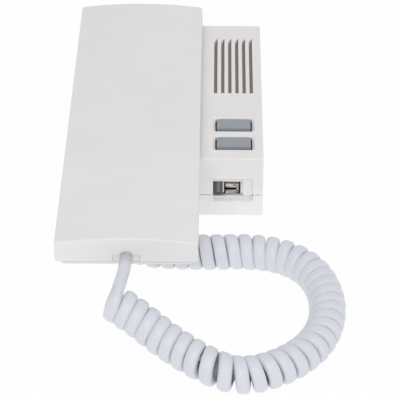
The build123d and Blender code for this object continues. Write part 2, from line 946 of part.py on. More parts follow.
def handset_grommet_cut():
    """Opening in the handset's end wall for the grommet and its collar."""
    end = -handset_length / 2
    y_limits = (end - overrun, end + handset_wall + overrun)
    half = handset_grommet_width / 2 + grommet_gap
    slot = block((handset_x - half, handset_x + half), y_limits,
                 (rim - overrun, rim + handset_grommet_height + grommet_gap))
    return slot + collar(collar_radius + collar_hole_gap, y_limits)


def collar(radius, y_limits):
    """Round bar about the cord's exit, between two places along the handset."""
    plane = Plane((handset_x, y_limits[0], cord_exit_z), x_dir=(1, 0, 0), z_dir=(0, 1, 0))
    return extrude(plane * Circle(radius), y_limits[1] - y_limits[0])


def inner_shell_limits(inset):
    """Edges of the inner shell, set in from the handset's sides."""
    half_width = handset_width / 2 - inset
    half_length = handset_length / 2 - inset
    return (handset_x - half_width, handset_x + half_width), (-half_length, half_length)


def handset_inner_shell():
    """Flat inner shell with the ear end, the mouth end and a rim inside the cover."""
    x_limits, y_limits = inner_shell_limits(inner_shell_inset)
    plate_top = seat + inner_shell_wall
    shell = block(x_limits, y_limits, (seat, seat + inner_shell_rim), handset_corner_radius)
    x_inner, y_inner = inner_shell_limits(inner_shell_inset + inner_shell_wall)
    shell += block(
        x_limits,
        (lip_end_inset - handset_length / 2, base_bottom - lip_base_gap),
        (seat - lip_depth, seat),
        handset_corner_radius,
    )
    shell -= block(x_inner, y_inner, (plate_top, seat + inner_shell_rim + overrun))
    shell += tapered(
        handset_x, ear_y, plate_top, seat - ear_depth, ear_width, ear_length,
        ear_corner_radius, ear_slope,
    )
    shell += tapered(
        handset_x, mouth_y, plate_top, seat - mouth_depth, mouth_width, mouth_length,
        mouth_corner_radius, mouth_slope,
    )
    wall = inner_shell_wall
    shell -= tapered(
        handset_x, ear_y, plate_top, seat - ear_depth + wall, ear_width - 2 * wall,
        ear_length - 2 * wall, ear_corner_radius - wall, ear_slope,
    )
    shell -= tapered(
        handset_x, mouth_y, plate_top, seat - mouth_depth + wall, mouth_width - 2 * wall,
        mouth_length - 2 * wall, mouth_corner_radius - wall, mouth_slope,
    )
    ear_z = (seat - ear_depth - overrun, seat - ear_depth + wall + overrun)
    shell -= disc(handset_x, ear_y, ear_hole_radius, ear_z)
    for i in range(ear_hole_count):
        angle = 2 * math.pi * i / ear_hole_count
        x = handset_x + ear_hole_ring * math.cos(angle)
        shell -= disc(x, ear_y + ear_hole_ring * math.sin(angle), ear_hole_radius, ear_z)
    mouth_z = (seat - mouth_depth - overrun, seat - mouth_depth + wall + overrun)
    for i in range(mouth_hole_count):
        x = handset_x + (i - (mouth_hole_count - 1) / 2) * mouth_hole_pitch
        shell -= centred_block(x, mouth_y, mouth_hole_width, mouth_hole_length, mouth_z)
    for y in handset_screw_places:
        hole_z = (seat - lip_depth - overrun, plate_top + overrun)
        shell -= disc(handset_x, y, handset_screw_radius + face_gap, hole_z)
        head_z = (seat - lip_depth - overrun, seat + handset_screw_head_height)
        shell -= disc(handset_x, y, handset_screw_head_radius + grommet_gap, head_z)
    pin_z = (plate_top, plate_top + ballast_height)
    for y in (ballast_y - ballast_pin_y, ballast_y + ballast_pin_y):
        shell += disc(handset_x, y, ballast_pin_radius, pin_z)
    notch_half = handset_grommet_width / 2 + grommet_gap
    notch_end = -handset_length / 2 + handset_grommet_depth + grommet_gap
    shell -= block(
        (handset_x - notch_half, handset_x + notch_half),
        (-handset_length / 2 - overrun, notch_end),
        (rim, seat + inner_shell_rim + overrun),
    )
    return shell - collar(
        collar_radius + collar_hole_gap, (-handset_length / 2 - overrun, notch_end)
    )


def handset_grommet():
    """Plate in the handset's end with the round collar that grips the cord."""
    end = -handset_length / 2
    half = handset_grommet_width / 2
    y_limits = (end + grommet_gap, end + handset_grommet_depth)
    plate = block(
        (handset_x - half, handset_x + half), y_limits, (rim, rim + handset_grommet_height)
    )
    return plate + collar(collar_radius, (cord_exit_y, y_limits[1]))


def earpiece_levels():
    """Heights of the earpiece gasket's underside, its top and the earpiece's top."""
    low = seat - ear_depth + inner_shell_wall
    top = low + earpiece_gasket_height
    return low, top, top + earpiece_height


def earpiece_gasket():
    """Foam ring under the earpiece."""
    low, top, _ = earpiece_levels()
    inner = ear_hole_ring + 2 * ear_hole_radius
    return ring(handset_x, ear_y, earpiece_radius, inner, (low, top))


def earpiece():
    """Receiver capsule with its stepped back."""
    _, low, top = earpiece_levels()
    step = top - earpiece_height / 2
    wide = disc(handset_x, ear_y, earpiece_radius, (low, step))
    return wide + disc(handset_x, ear_y, earpiece_radius - earpiece_step, (step, top))


def microphone_sleeve():
    """Rubber cup that holds the microphone."""
    low = seat - mouth_depth + inner_shell_wall
    outer = microphone_radius + sleeve_wall
    cup = disc(handset_x, mouth_y, outer, (low, low + sleeve_floor + microphone_height))
    cup -= disc(
        handset_x, mouth_y, microphone_radius,
        (low + sleeve_floor, low + sleeve_floor + microphone_height + overrun),
    )
    return cup - disc(handset_x, mouth_y, sleeve_hole_radius, (low - overrun, low + sleeve_wall))


def microphone():
    """Microphone capsule."""
    low = seat - mouth_depth + inner_shell_wall + sleeve_floor
    return disc(handset_x, mouth_y, microphone_radius, (low, low + microphone_height))


def ballast():
    """Steel plate that gives the handset its weight."""
    low = seat + inner_shell_wall
    plate = centred_block(handset_x, ballast_y, ballast_width, ballast_length, (low, low + ballast_height))
    for y in (ballast_y - ballast_pin_y, ballast_y + ballast_pin_y):
        hole_radius = ballast_pin_radius + grommet_gap
        plate -= disc(handset_x, y, hole_radius, (low - overrun, low + ballast_height + overrun))
    return plate


def handset_screws():
    """Screws that hold the inner shell to the cover."""
    return [
        screw(
            handset_x, y, seat, handset_screw_head_radius, handset_screw_head_height,
            handset_screw_radius, handset_screw_length, True,
        )
        for y in handset_screw_places
    ]


def case_screws():
    """Screws from the back through the back shell's pillars into the front cover."""
    return [
        screw(
            x, y, face_gap, case_screw_head_radius, case_screw_head_height,
            case_screw_radius, case_screw_length, True,
        )
        for x, y in case_screw_places()
    ]


# Curly cord


def base_grommet():
    """Grommet that grips the cord in the base's bottom end."""
    z = base_cord_z()
    half_width = base_grommet_width / 2 - grommet_gap
    half_height = base_grommet_height / 2 - grommet_gap
    y_end = base_bottom + base_wall
    x_limits = (base_cord_x - half_width, base_cord_x + half_width)
    z_limits = (z - half_height, z + half_height)
    plate = block(x_limits, (base_bottom, y_end + grommet_gap), z_limits)
    wide_x = (x_limits[0] - base_grommet_flange, x_limits[1] + base_grommet_flange)
    wide_z = (z_limits[0] - base_grommet_flange, z_limits[1] + base_grommet_flange)
    flange_y = (y_end + grommet_gap, y_end + grommet_gap + base_grommet_flange_depth)
    plane = Plane((base_cord_x, base_bottom, z), x_dir=(1, 0, 0), z_dir=(0, -1, 0))
    nose = extrude(plane * Circle(collar_radius), collar_proud)
    return plate + block(wide_x, flange_y, wide_z) + nose


def route_tables():
    """Points close together along the coil's axis, with the turns counted up to each.

    The axis is a chain of parabolas through the middles of the route's runs.
    """
    steps = 60
    points = [Vector(*place) for place in coil_route]
    last = len(points) - 2
    line = []
    weights = []
    for i in range(1, len(points) - 1):
        start = points[0] if i == 1 else (points[i - 1] + points[i]) / 2
        end = points[-1] if i == last else (points[i] + points[i + 1]) / 2
        share_in = pitch_shares[0] if i == 1 else (pitch_shares[i - 1] + pitch_shares[i]) / 2
        share_out = pitch_shares[-1] if i == last else (pitch_shares[i] + pitch_shares[i + 1]) / 2
        for k in range(steps + (i == last)):
            t = k / steps
            line.append(start * (1 - t) ** 2 + points[i] * (2 * t * (1 - t)) + end * t**2)
            weights.append(share_in * (1 - t) ** 2 + pitch_shares[i] * 2 * t * (1 - t) + share_out * t**2)
    counted = [0.0]
    for a, b, share_a, share_b in zip(line, line[1:], weights, weights[1:]):
        counted.append(counted[-1] + (b - a).length * 2 / (share_a + share_b))
    turns = curl_count + curl_end_share
    return line, [count * turns / counted[-1] for count in counted]


def curl_point(line, counted, turn):
    """Point of the curled cord after a number of turns, counted from the coil's front side."""
    index = max(i for i in range(len(counted) - 1) if counted[i] <= turn or i == 0)
    run = counted[index + 1] - counted[index]
    share = (turn - counted[index]) / run
    centre = line[index] + (line[index + 1] - line[index]) * share
    before = line[max(index - 1, 0)]
    after = line[min(index + 2, len(line) - 1)]
    along = (after - before).normalized()
    side = along.cross(Vector(0, 0, 1)).normalized()
    up = side.cross(along)
    angle = 2 * math.pi * turn
    return centre + (side * math.cos(angle) - up * math.sin(angle)) * curl_radius


def curl_stations():
    """Points of the curls with the cord's direction at each."""
    line, counted = route_tables()
    turns = curl_count + curl_end_share
    count = round(turns * curl_steps)
    nudge = 1 / (curl_steps * curl_count)
    stations = []
    for i in range(count + 1):
        turn = turns * i / count
        low = max(turn - nudge, 0)
        high = min(turn + nudge, turns)
        middle = curl_point(line, counted, turn)
        step = curl_point(line, counted, high) - curl_point(line, counted, low)
        if low == 0 or high == turns:
            flat = curl_point(line, counted, low if low else high) - middle
            step = flat_tangent(middle, flat, turn, line, counted)
        stations.append((middle, step.normalized()))
    return stations


def flat_tangent(middle, flat, turn, line, counted):
    """Cord's direction at an end of the curls, from points a hair's breadth on."""
    hair = 1 / (curl_steps * curl_count) ** 2
    way = 1 if turn == 0 else -1
    return (curl_point(line, counted, turn + way * hair) - middle) * way


def biarc(start, start_way, end, end_way):
    """Two arcs from start to end that meet smoothly, and the radius of each."""
    gap = end - start
    both = start_way + end_way
    bend = 2 * (1 - start_way.dot(end_way))
    reach = (math.sqrt(gap.dot(both) ** 2 + bend * gap.dot(gap)) - gap.dot(both)) / bend
    middle = (start + end + (start_way - end_way) * reach) / 2
    middle_way = (end - end_way * reach - start - start_way * reach).normalized()
    arcs = []
    radii = []
    for a, way, b in ((start, start_way, middle), (middle, middle_way, end)):
        arcs.append(Edge.make_tangent_arc(a, way, b))
        chord = b - a
        radii.append(chord.length / 2 / math.sin(math.radians(way.get_angle(chord))))
    return arcs, radii


def lead_edges(points, name, coil_run):
    """Straight runs joined by tangent arcs, as large as the runs allow."""
    rooms = [lead_run_share * (b - a).length for a, b in zip(points, points[1:])]
    rooms[coil_run] *= coil_run_share / lead_run_share
    radii = []
    for i in range(1, len(points) - 1):
        turn = (points[i] - points[i - 1]).get_angle(points[i + 1] - points[i])
        radii.append(min(rooms[i - 1], rooms[i]) / math.tan(math.radians(turn) / 2))
    print(name, "radii", [round(radius, 1) for radius in radii])
    return list(FilletPolyline(*points, radius=radii).edges())


def print_gap(points):
    """Prints how near the curled cord's surface comes to itself."""
    least = min(
        (points[i] - points[k]).length
        for i in range(len(points))
        for k in range(i + curl_steps * 4, len(points))
        if abs(points[i].X - points[k].X) < curl_outer_diameter
        and abs(points[i].Y - points[k].Y) < curl_outer_diameter
    )
    print("least gap of the cord to itself", round(least - cord_diameter, 2), "mm")


def curly_cord():
    """Cord from the handset's end through its curls to the base's grommet."""
    stations = curl_stations()
    start, start_way = stations[0]
    end, end_way = stations[-1]
    exit_point = Vector(handset_x, cord_exit_y, cord_exit_z)
    first_bend = [Vector(*place) for place in handset_lead]
    first_lead = [exit_point, *first_bend, start - start_way * handset_lead_run, start]
    entry = Vector(base_cord_x, base_bottom - collar_proud, base_cord_z())
    last_bend = [Vector(*place) for place in base_lead]
    last_lead = [end, end + end_way * base_lead_run, *last_bend, entry]
    edges = lead_edges(first_lead, "handset lead", -1)
    radii = []
    for (a, way_a), (b, way_b) in zip(stations, stations[1:]):
        arcs, arc_radii = biarc(a, way_a, b, way_b)
        edges += arcs
        radii += arc_radii
    edges += lead_edges(last_lead, "base lead", 0)
    path = Wire(edges)
    print("curl radii from", round(min(radii), 2), "to", round(max(radii), 2), "mm")
    print("cord length", round(path.length), "mm in", curl_count, "curls")
    samples = round(path.length / curl_radius * 4)
    print_gap([path @ (i / samples) for i in range(samples + 1)])
    section = Plane(exit_point, z_dir=(0, -1, 0)) * Circle(cord_diameter / 2)
    cord = sweep(section, path=path)
    expected = math.pi * cord_diameter**2 / 4 * path.length
    print("cord volume over section times length", round(cord.volume / expected, 4))
    return cord


def save(name, solids):
    """Writes one node, made of one solid or of several alike."""
    shape = Compound(children=list(solids)) if isinstance(solids, list) else solids
    export_step(shape, f"parts/{name}.step")


def main():
    save("back_shell", back_shell())
    save("front_cover", front_cover())
    save("speaker_gasket", speaker_gasket())
    save("speaker_frame", speaker_frame())
    save("speaker_cone", speaker_cone())
    save("speaker_magnet", speaker_magnet())
    save("circuit_board", circuit_board())
    save("board_screws", board_screws())
    save("board_components", board_components())
    save("terminal_block", terminal_block())
    save("terminal_screws", terminal_screws())
    save("hook_switch", hook_switch())
    save("hook_plunger", hook_plunger())
    for name, y in (("upper", upper_button_y), ("lower", lower_button_y)):
        save(f"{name}_button", button_cap(y))
        save(f"{name}_button_switch", push_switch(y))
        save(f"{name}_switch_plunger", push_plunger(y))
    save("volume_switch_base", volume_switch_base())
    save("volume_switch_frame", volume_switch_frame())
    save("volume_lever", volume_lever())
    save("case_screws", case_screws())
    save("base_grommet", base_grommet())
    save("handset_cover", handset_cover())
    save("handset_inner_shell", handset_inner_shell())
    save("handset_grommet", handset_grommet())
    save("earpiece_gasket", earpiece_gasket())
    save("earpiece", earpiece())
    save("microphone_sleeve", microphone_sleeve())
    save("microphone", microphone())
    save("ballast", ballast())
    save("handset_screws", handset_screws())
    save("curly_cord", curly_cord())


main()
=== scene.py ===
# %% [markdown]
# # An audio intercom with a lift-off handset
#
# This notebook dresses a finished mechanical model. The model comes packed as a "frame": every
# piece of the intercom at its real size, in metres, with the joints that let the handset lift,
# the buttons press and the volume lever slide. Here we set up the camera, draw the curly cord,
# give each piece its finish, and light it all.

# %% Load the frame
import json
import math

import bpy
import numpy as np
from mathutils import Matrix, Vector


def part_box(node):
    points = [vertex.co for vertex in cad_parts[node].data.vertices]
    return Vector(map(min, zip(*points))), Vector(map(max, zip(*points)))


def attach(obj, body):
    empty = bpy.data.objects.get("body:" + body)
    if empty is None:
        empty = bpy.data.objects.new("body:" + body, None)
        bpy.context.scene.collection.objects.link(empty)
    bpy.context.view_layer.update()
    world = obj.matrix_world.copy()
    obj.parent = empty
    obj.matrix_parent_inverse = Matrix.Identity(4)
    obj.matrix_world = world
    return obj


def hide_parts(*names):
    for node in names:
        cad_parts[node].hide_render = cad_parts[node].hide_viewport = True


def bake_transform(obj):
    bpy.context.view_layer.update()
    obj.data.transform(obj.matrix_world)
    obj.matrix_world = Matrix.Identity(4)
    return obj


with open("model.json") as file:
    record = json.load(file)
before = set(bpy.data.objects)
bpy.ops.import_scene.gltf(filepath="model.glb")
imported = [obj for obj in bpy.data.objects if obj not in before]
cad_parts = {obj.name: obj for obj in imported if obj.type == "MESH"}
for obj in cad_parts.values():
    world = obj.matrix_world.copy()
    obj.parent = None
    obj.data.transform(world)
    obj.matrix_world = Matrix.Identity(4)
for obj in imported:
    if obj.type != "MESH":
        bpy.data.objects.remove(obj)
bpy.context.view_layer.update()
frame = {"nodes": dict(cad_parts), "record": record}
MM = 0.001
print("pieces:", len(frame["nodes"]))

# %% [markdown]
# ## The camera
#
# A product photograph like this one is taken from a good distance with a long lens, so that the
# far end of the handset looks nearly as wide as the near end. We could turn the view by eye,
# but it is surer to think as the photographer does: choose what to aim at, how high to stand,
# how far away, and which lens. The camera looks down at 35.5 degrees and is turned by less
# than a degree, and the lens is a 172 mm one on a 36 mm wide sensor.

# %% Camera
VIEW_ELEVATION = math.radians(35.5)
VIEW_TURN = math.radians(0.624)
VIEW_DISTANCE = 886.07 * MM
VIEW_AIM = Vector((15.665, -14.253, 3.702)) * MM
VIEW_REACH = 20.0  # metres, well past the table's far edge
SENSOR_WIDTH = 36.0  # millimetres, as the lens is
LENS = 171.71


def put_in_scene(name, data):
    """New object at the origin, linked to the scene."""
    thing = bpy.data.objects.new(name, data)
    bpy.context.scene.collection.objects.link(thing)
    return thing


def aim_camera():
    """Camera at its distance from the aim, looking down at it."""
    data = bpy.data.cameras.new("camera")
    data.sensor_width = SENSOR_WIDTH
    data.lens = LENS
    data.clip_end = VIEW_REACH
    stand = put_in_scene("camera", data)
    stand.rotation_euler = (math.pi / 2 - VIEW_ELEVATION, 0, VIEW_TURN)
    level = math.cos(VIEW_ELEVATION)
    backwards = Vector((
        math.sin(VIEW_TURN) * level,
        -math.cos(VIEW_TURN) * level,
        math.sin(VIEW_ELEVATION),
    ))
    stand.location = VIEW_AIM + backwards * VIEW_DISTANCE
    bpy.context.scene.camera = stand
    return stand


camera = aim_camera()
print("camera stands", round(camera.location.z / MM), "mm above the table")

# %% [markdown]
# ## A helper: read a smooth line back from Blender
#
# The cord follows two smooth lines: the axis of its coil, and then the wire itself, winding
# round that axis. Blender's NURBS curve draws such a line through a handful of control points.
# We let Blender work the curve out, read its points back as a mesh, and throw the curve away.
# The order has to be set after the points are there, or Blender falls back to straight runs.

# %% Smooth line
LINE_ORDER = 3


def smooth_line(places, steps):
    """Points along a NURBS curve that starts and ends at the outer places."""
    data = bpy.data.curves.new("line", "CURVE")
    data.dimensions = "3D"
    data.resolution_u = steps
    spline = data.splines.new("NURBS")
    spline.points.add(len(places) - 1)
    for point, place in zip(spline.points, places):
        point.co = (*place, 1.0)
    spline.order_u = LINE_ORDER
    spline.use_endpoint_u = True
    holder = put_in_scene("line", data)
    bpy.context.view_layer.update()
    mesh = bpy.data.meshes.new_from_object(holder)
    line = np.array([vertex.co for vertex in mesh.vertices], float)
    bpy.data.meshes.remove(mesh)
    bpy.data.objects.remove(holder)
    bpy.data.curves.remove(data)
    return line


def line_length(line):
    """Length along a line's points."""
    return np.linalg.norm(np.diff(line, axis=0), axis=1).sum()


corner = [(0, 0, 0), (1, 0, 0), (1, 1, 0)]
print("a corner of length 2, made smooth:", round(line_length(smooth_line(corner, 8)), 2))

# %% [markdown]
# ## The curly cord
#
# A retractile cord is wound hot round a rod and keeps its curls. This one has 40 of them,
# 15.5 mm across, of a wire 4.5 mm thick. It leaves the handset's end, comes down to the table
# and lies there in a wide bend round to the base. We choose the points of the bend's axis,
# in millimetres, as a cord is laid out by hand. Each point also says how far apart the
# curls are there, as a share of their mean pitch: they are closest near the handset.

# %% Cord's route
CURL_COUNT = 40
COIL_ROUTE = [
    (-17.6, -120.3, 26.3),
    (-9.2, -123.8, 22.3),
    (1.0, -130.0, 16.8),
    (12.2, -136.9, 13.2),
    (22.7, -143.1, 11.3),
    (33.0, -144.1, 8.1),
    (45.3, -141.0, 8.1),
    (58.5, -132.0, 8.1),
    (67.4, -119.1, 8.1),
    (71.5, -102.9, 8.1),
    (70.0, -85.2, 8.1),
    (63.5, -70.8, 8.1),
    (51.6, -62.1, 8.1),
    (37.1, -59.5, 8.1),
    (21.8, -60.3, 8.1),
    (7.0, -60.1, 8.1),
    (-5.5, -59.3, 8.1),
    (-15.4, -54.2, 8.1),
    (-21.4, -46.5, 8.1),
]
PITCH_SHARES = [0.92, 1.01, 1.02, 1.08, 1.13, 1.13, 1.0, 1.02, 1.01, 0.98, 0.97, 1.11,
                1.06, 1.06, 1.05, 1.02, 1.17, 1.2, 1.01]
AXIS_STEPS = 40

axis = smooth_line(COIL_ROUTE, AXIS_STEPS)
print("coil's axis:", round(line_length(axis)), "mm long, for", CURL_COUNT, "curls")

# %% [markdown]
# ## Winding the curls
#
# A curl is a circle carried along the axis. For each small step of turn we find how far along
# the axis we are, take the sideways and the upward direction there, and place a point on the
# circle. A smooth curve cuts a little inside its control points, so the circle is drawn larger
# by just that much.

# %% Curls
CORD_DIAMETER = 4.5 * MM
CURL_OUTER_DIAMETER = 15.5 * MM
CURL_END_SHARE = 0.75  # of one more turn, with which the wire heads for the base
POINTS_PER_TURN = 16


def wind_curls():
    """Control points of the wire round the coil's axis, in millimetres."""
    shares = smooth_line([(share, 0, 0) for share in PITCH_SHARES], AXIS_STEPS)[:, 0]
    runs = np.linalg.norm(np.diff(axis, axis=0), axis=1)
    counted = np.concatenate([[0], np.cumsum(runs * 2 / (shares[1:] + shares[:-1]))])
    turns = CURL_COUNT + CURL_END_SHARE
    counted *= turns / counted[-1]
    ways = np.gradient(axis, axis=0)
    radius = (CURL_OUTER_DIAMETER - CORD_DIAMETER) / 2 / MM
    radius /= math.cos(math.pi / POINTS_PER_TURN)
    points = []
    for turn in np.linspace(0, turns, round(turns * POINTS_PER_TURN) + 1):
        centre = Vector([np.interp(turn, counted, axis[:, k]) for k in range(3)])
        onward = Vector([np.interp(turn, counted, ways[:, k]) for k in range(3)]).normalized()
        side = onward.cross(Vector((0, 0, 1))).normalized()
        up = side.cross(onward)
        angle = 2 * math.pi * turn
        points.append(centre + (side * math.cos(angle) - up * math.sin(angle)) * radius)
    return points


curls = wind_curls()
print("curls:", len(curls), "control points")

# %% [markdown]
# ## The two leads
#
# At both ends the wire leaves the coil and goes straight into its grommet. A few points are
# enough for that, as long as the first and the last of them lie in line with the hole, so that
# the wire comes out of it squarely.

# %% Whole wire
CORD_EXIT = (-14.4, -98.75, 34.3)
HANDSET_LEAD = [(-14.4, -107.3, 34.3)]
HANDSET_LEAD_RUN = 6.5  # on from the first curl, in its own direction
BASE_LEAD_RUN = 5.0  # the same, from the last curl
BASE_LEAD = [(-15.8, -37.6, 12.8), (-14.4, -31.9, 12.8)]
CORD_ENTRY = (-14.4, -22.35, 12.8)
WIRE_STEPS = 2


def wire_places():
    """The whole wire: out of the handset, through the curls and into the base."""
    start_way = (curls[1] - curls[0]).normalized()
    end_way = (curls[-1] - curls[-2]).normalized()
    places = [CORD_EXIT, *HANDSET_LEAD, curls[0] - start_way * HANDSET_LEAD_RUN, *curls]
    places += [curls[-1] + end_way * BASE_LEAD_RUN, *BASE_LEAD, CORD_ENTRY]
    return [Vector(place) * MM for place in places]


places = wire_places()
wire = smooth_line(places, WIRE_STEPS)

# %% [markdown]
# ## Where the wire's inner side faces
#
# The wire isn't quite round, so we need to know which way it is turned. In a curl, its inner
# side faces the coil's axis. For each control point of the wire we look up the nearest point
# of the axis, and along the leads we keep the direction of the curl next to them.

# %% Middles of the curls
def nearest_on_axis(curl):
    """Point of the coil's axis that is nearest to a point of the wire."""
    return Vector(axis[np.argmin(np.linalg.norm(axis - np.array(curl), axis=1))])


def middle_places():
    """For each place of the wire, the middle that its inner side faces."""
    inner = [nearest_on_axis(curl) for curl in curls]
    before, after = len(HANDSET_LEAD) + 2, len(BASE_LEAD) + 2
    first, last = inner[0] - curls[0], inner[-1] - curls[-1]
    lead = [place / MM + first for place in places[:before]]
    tail = [place / MM + last for place in places[-after:]]
    return [place * MM for place in [*lead, *inner, *tail]]


middles = smooth_line(middle_places(), WIRE_STEPS)
print("middles:", len(middles), "points, one for each of the wire's")

# %% [markdown]
# ## The wire's section
#
# Heat and winding have pressed the wire a little flat where the curls face outwards, so along
# the coil it is wider than thick. Along the two leads it is round. We could draw leads and coil
# as two tubes, but the jacket runs on without a seam, so one number says for each point of the
# wire how much of the curls' section it has. It changes slowly, near both ends.

# %% Share of the curls' section
LEAD_FADE = 22.0 * MM  # of wire, over which the section changes


def curl_share(line):
    """One along the curls, fading to zero on the leads at both ends."""
    runs = np.linalg.norm(np.diff(line, axis=0), axis=1)
    gone = np.concatenate([[0], np.cumsum(runs)])
    nearest_end = np.minimum(gone, gone[-1] - gone)
    share = np.clip((nearest_end - LEAD_FADE / 2) / LEAD_FADE, 0, 1)
    return share * share * (3 - 2 * share)


section_share = curl_share(wire)
print("flattened:", round(100 * float(np.mean(section_share > 0))), "% of the wire's points")

# %% [markdown]
# ## Rings round the wire
#
# A curve with a round bevel would do for a still picture, but this cord has to stretch when the
# handset is lifted, and only a mesh can be told which of its points follow which body. So we
# build the tube ring by ring, each ring square to the wire and turned towards the coil's axis.
# A superellipse draws the flattened section: a power of 2 would give an ellipse, and a higher
# one gives flatter sides.

# %% Rings
RING_SIDES = 24
CORD_DRAWN = 5.3 * MM  # across the leads
CURL_WIDTH = 5.85 * MM  # of the wire in the curls, along the coil
CURL_THICKNESS = 4.8 * MM
ROUND_POWER = 2.0
CURL_POWER = 2.7


def rounded(wave, power):
    """A cosine or sine, swelled so that the ring comes out as a superellipse."""
    return np.sign(wave) * np.abs(wave) ** (2 / power)


def wire_rings():
    """Ring of points round each point of the wire."""
    ways = np.gradient(wire, axis=0)
    ways /= np.linalg.norm(ways, axis=1)[:, None]
    inward = middles - wire
    inward -= ways * np.sum(inward * ways, axis=1)[:, None]
    inward /= np.linalg.norm(inward, axis=1)[:, None]
    across = np.cross(ways, inward)
    share = section_share[:, None]
    power = ROUND_POWER + (CURL_POWER - ROUND_POWER) * share
    width = CORD_DRAWN + (CURL_WIDTH - CORD_DRAWN) * share
    thickness = CORD_DRAWN + (CURL_THICKNESS - CORD_DRAWN) * share
    angles = np.linspace(0, 2 * math.pi, RING_SIDES, endpoint=False)
    x = rounded(np.cos(angles), power) * width / 2
    y = rounded(np.sin(angles), power) * thickness / 2
    return wire[:, None] + across[:, None] * x[..., None] + inward[:, None] * y[..., None]


rings = wire_rings()
print("rings:", rings.shape[0], "of", rings.shape[1], "points")

# %% [markdown]
# ## The cord's jacket
#
# The jacket is the skin of soft plastic over the wire. With the rings in place it is quickly
# made: four-sided faces join each ring to the next, and a flat face closes each end, inside
# its grommet. The faces are shaded smooth, as the real jacket has no edges.

# %% Cord's jacket
def skin(name, rings):
    """Closed tube over a row of rings."""
    faces = []
    last = (len(rings) - 1) * RING_SIDES
    for low in range(0, last, RING_SIDES):
        high = low + RING_SIDES
        for k in range(RING_SIDES):
            following = (k + 1) % RING_SIDES
            faces.append((low + k, low + following, high + following, high + k))
    faces.append(tuple(range(RING_SIDES))[::-1])
    faces.append(tuple(range(last, last + RING_SIDES)))
    mesh = bpy.data.meshes.new(name)
    mesh.from_pydata(rings.reshape(-1, 3).tolist(), [], faces)
    mesh.shade_smooth()
    mesh.update()
    return put_in_scene(name, mesh)


cord = skin("cord_jacket", rings)
print("cord jacket:", len(cord.data.polygons), "faces")

# %% [markdown]
# ## The drawn cord in place of the model's
#
# The model's own cord piece is hidden, and the drawn cord's place is baked into its points.
# One end of the cord is held by the base and the other by the handset. When the handset lifts,
# the curls near it stretch. The numbers below describe a blend for that: going from its start
# to its end, a point of the cord would follow the base less and the handset more, and the line
# between the two is slanted, so that the turns under the handset stay on the table. Here they
# only give the width of the blend, and the cord is tied to neither body.

# %% Hide the model's cord, bake the drawn one
STRETCH_WAY = Vector((-0.5, 0.0, 0.85))
STRETCH_BEFORE = 15.0 * MM
STRETCH_AFTER = 6.0 * MM

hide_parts("curly_cord")
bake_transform(cord)
stretched = STRETCH_WAY.length * (STRETCH_BEFORE + STRETCH_AFTER)
print("cord goes over from base to handset within", round(stretched / MM), "mm")

# %% [markdown]
# ## Tools for the finishes
#
# Every finish here is a small tree of nodes in front of one principled shader. Pictures of the
# surfaces could be wrapped round the pieces instead, but they blur close up. A pattern that is
# worked out from a point's own place on its piece stays sharp, and moves along with the piece.
# The first helpers start a finish, and make the blotches of a noise in it.

# %% A finish and its noise
def new_finish(name):
    """Material with one principled shader, and its node tree."""
    material = bpy.data.materials.new(name)
    material.use_nodes = True
    return material, material.node_tree, material.node_tree.nodes["Principled BSDF"]


def own_place(tree):
    """A point's place in the object's own space."""
    return tree.nodes.new("ShaderNodeTexCoord").outputs["Object"]


def blotches(tree, size, place):
    """Noise whose blotches are about one size, in metres."""
    texture = tree.nodes.new("ShaderNodeTexNoise")
    texture.inputs["Scale"].default_value = 1 / size
    tree.links.new(place, texture.inputs["Vector"])
    return texture.outputs["Fac"]


print("materials before the first finish:", len(bpy.data.materials))

# %% [markdown]
# ## From a noise to colour, gloss and bumps
#
# A noise is only a number from place to place. To make something of it, we map its range on to
# another one, use it to mix two colours, or raise bumps with it. Most of a noise's values lie
# near its middle, so mapping its full range would give a dull result, and we take the part
# between 0.3 and 0.7.

# %% What a noise can do
NOISE_LOW, NOISE_HIGH = 0.3, 0.7


def remap(tree, value, value_range, new_range):
    """Maps one range of a value on to another, and holds it there outside."""
    node = tree.nodes.new("ShaderNodeMapRange")
    ends = zip(("From Min", "From Max", "To Min", "To Max"), (*value_range, *new_range))
    for socket, number in ends:
        node.inputs[socket].default_value = number
    tree.links.new(value, node.inputs["Value"])
    return node.outputs["Result"]


def spread(tree, noise, low, high):
    """Maps the middle of a noise's range on to low to high."""
    return remap(tree, noise, (NOISE_LOW, NOISE_HIGH), (low, high))


def two_tones(tree, value, first, second):
    """Colour that goes from first to second with a value. Either can come from a node."""
    node = tree.nodes.new("ShaderNodeMix")
    node.data_type = "RGBA"
    for socket, colour in (("A", first), ("B", second)):
        if isinstance(colour, bpy.types.NodeSocket):
            tree.links.new(colour, node.inputs[socket])
        else:
            node.inputs[socket].default_value = (*colour, 1)
    tree.links.new(value, node.inputs["Factor"])
    return node.outputs["Result"]


def bumps(tree, value, strength, height):
    """Normal of a surface with bumps of a height in metres."""
    node = tree.nodes.new("ShaderNodeBump")
    node.inputs["Strength"].default_value = strength
    node.inputs["Distance"].default_value = height
    tree.links.new(value, node.inputs["Height"])
    return node.outputs["Normal"]


print("a noise is read from", NOISE_LOW, "to", NOISE_HIGH, "of its range")

# %% [markdown]
# ## Moulded plastic
#
# The shells are moulded in ABS from a tool whose surface was spark-eroded, which leaves a fine
# even grain that kills reflections. A flat colour would look like paint, so the finish has
# three parts: a broad, barely visible drift of colour, as thick and thin walls cool at
# different rates; a grain of about half a millimetre that tilts the surface a little; and a
# roughness that changes with the grain. Foam, paper, board and the cord's jacket are made in
# the same way, with other numbers. A colour is red, green and blue. The grain's size and
# height are in millimetres, and the last number is the roughness.

